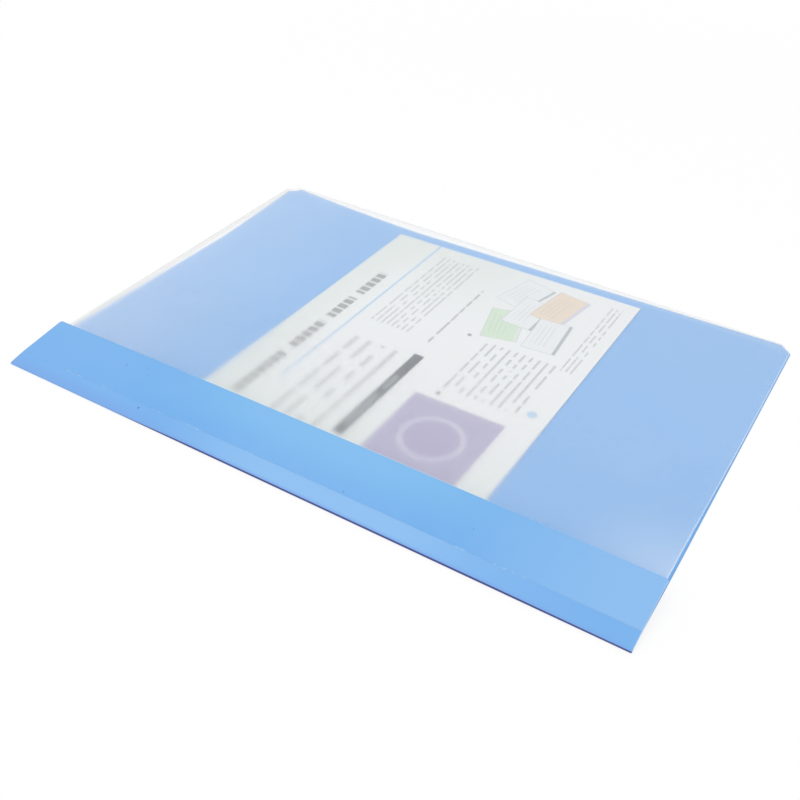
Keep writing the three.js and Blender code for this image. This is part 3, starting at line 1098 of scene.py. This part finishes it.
def fastenerMaterial():
    f = fastener
    n = Nodes("whiteMouldedPlastic")
    place = n.add("ShaderNodeTexCoord").outputs["Object"]
    cloud = n.noise(place, f["cloudScale"], 3.0)
    grain = n.noise(place, f["grainScale"], 1.0)
    colour = n.mix(n.times(cloud, f["cloudShare"]), f["colour"], f["shadeColour"])
    roughness = n.plus(f["roughness"], n.times(cloud, f["cloudRoughness"]))
    normal = n.bump(grain, f["grainDepth"], f["grainStrength"])
    shader = n.shader(Base_Color=colour, Roughness=roughness, IOR=f["ior"], Normal=normal)
    n.link(shader.outputs[0], n.output.inputs[0])
    return n.material


def makeFastener():
    material = fastenerMaterial()
    makeFastenerBase(material)
    makeCompressorBar(material)


# Studio: white floor that keeps a soft shadow, soft lamps, plain world. Its sizes and
# places are in metres.

studio = {
    "floorSize": 6.0,
    "floorHeight": -0.00002,
    "floorShadowShare": 0.16,
    "shadowReach": (0.35, 0.90),
    "floorColour": (0.98, 0.98, 0.98, 1),
    "worldStrength": 0.785,
    "keySize": 1.4,
    "keyPower": 6.5,
    "keyPlace": (-0.45, -0.50, 1.45),
    "fillSize": 0.9,
    "fillPower": 0.8,
    "fillPlace": (0.75, 0.35, 1.1),
}


def makeFloor():
    half = studio["floorSize"] / 2
    corners = ((-half, -half), (half, -half), (half, half), (-half, half))
    mesh = bpy.data.meshes.new("floor")
    mesh.from_pydata([(x, y, studio["floorHeight"]) for x, y in corners], [], [(0, 1, 2, 3)])
    floor = bpy.data.objects.new("floor", mesh)
    bpy.context.scene.collection.objects.link(floor)
    n = Nodes("studioFloor")
    path = n.add("ShaderNodeLightPath")
    seen = n.math("MAXIMUM", path.outputs["Is Camera Ray"], path.outputs["Is Glossy Ray"])
    seen = n.math("MAXIMUM", seen, path.outputs["Is Transmission Ray"])
    white = n.add("ShaderNodeEmission")
    diffuse = n.add("ShaderNodeBsdfDiffuse")
    diffuse.inputs[0].default_value = studio["floorColour"]
    # the floor only keeps its shadow near the file
    away = n.add("ShaderNodeVectorMath", operation="LENGTH")
    n.link(n.add("ShaderNodeTexCoord").outputs["Object"], away.inputs[0])
    share = n.ramp(away.outputs["Value"], *studio["shadowReach"], 1 - studio["floorShadowShare"], 1.0)
    n.choose(n.times(seen, share), diffuse.outputs[0], white.outputs[0])
    mesh.materials.append(n.material)


def makeLamp(name, place, size, power):
    lamp = bpy.data.lights.new(name, "AREA")
    lamp.shape = "DISK"
    lamp.size = size
    lamp.energy = power
    holder = bpy.data.objects.new(name, lamp)
    holder.location = place
    holder.rotation_euler = (-Vector(place)).to_track_quat("-Z", "Y").to_euler()
    bpy.context.scene.collection.objects.link(holder)


def makeWorld():
    world = bpy.data.worlds.new("studioWorld")
    bpy.context.scene.world = world
    world.use_nodes = True
    tree = world.node_tree
    tree.nodes.clear()
    output = tree.nodes.new("ShaderNodeOutputWorld")
    light = tree.nodes.new("ShaderNodeBackground")
    white = tree.nodes.new("ShaderNodeBackground")
    path = tree.nodes.new("ShaderNodeLightPath")
    both = tree.nodes.new("ShaderNodeMixShader")
    light.inputs[0].default_value = (1, 1, 1, 1)
    light.inputs[1].default_value = studio["worldStrength"]
    white.inputs[0].default_value = (1, 1, 1, 1)
    tree.links.new(path.outputs["Is Camera Ray"], both.inputs[0])
    tree.links.new(light.outputs[0], both.inputs[1])
    tree.links.new(white.outputs[0], both.inputs[2])
    tree.links.new(both.outputs[0], output.inputs[0])


# Camera at the photograph's viewpoint, fitted to the file's corners

view = {
    "place": (191.8, -329.9, 265.7),
    "direction": (-0.4087, 0.6809, -0.6077),
    "up": (-0.3348, 0.5076, 0.7939),
    "lens": 43.46,
    "sensorWidth": 36.0,
    "clipStart": 10.0,
}


def makeCamera():
    data = bpy.data.cameras.new("camera")
    data.sensor_width = view["sensorWidth"]
    data.lens = view["lens"]
    data.clip_start = view["clipStart"] * mm
    camera = bpy.data.objects.new("camera", data)
    back = -Vector(view["direction"]).normalized()
    right = Vector(view["up"]).cross(back).normalized()
    up = back.cross(right)
    turn = Matrix((right, up, back)).transposed()
    camera.matrix_world = Matrix.Translation(Vector(view["place"]) * mm) @ turn.to_4x4()
    bpy.context.scene.collection.objects.link(camera)
    bpy.context.scene.camera = camera


bpy.context.scene.view_settings.view_transform = "Standard"
print("camera and studio")
makeCamera()
makeWorld()
makeFloor()
makeLamp("keyLamp", studio["keyPlace"], studio["keySize"], studio["keyPower"])
makeLamp("fillLamp", studio["fillPlace"], studio["fillSize"], studio["fillPower"])
print("blue sheet")
makeBlueSheet()
print("front cover")
makeFrontCover()
print("insert card")
makeInsertCard()
print("fastener")
makeFastener()
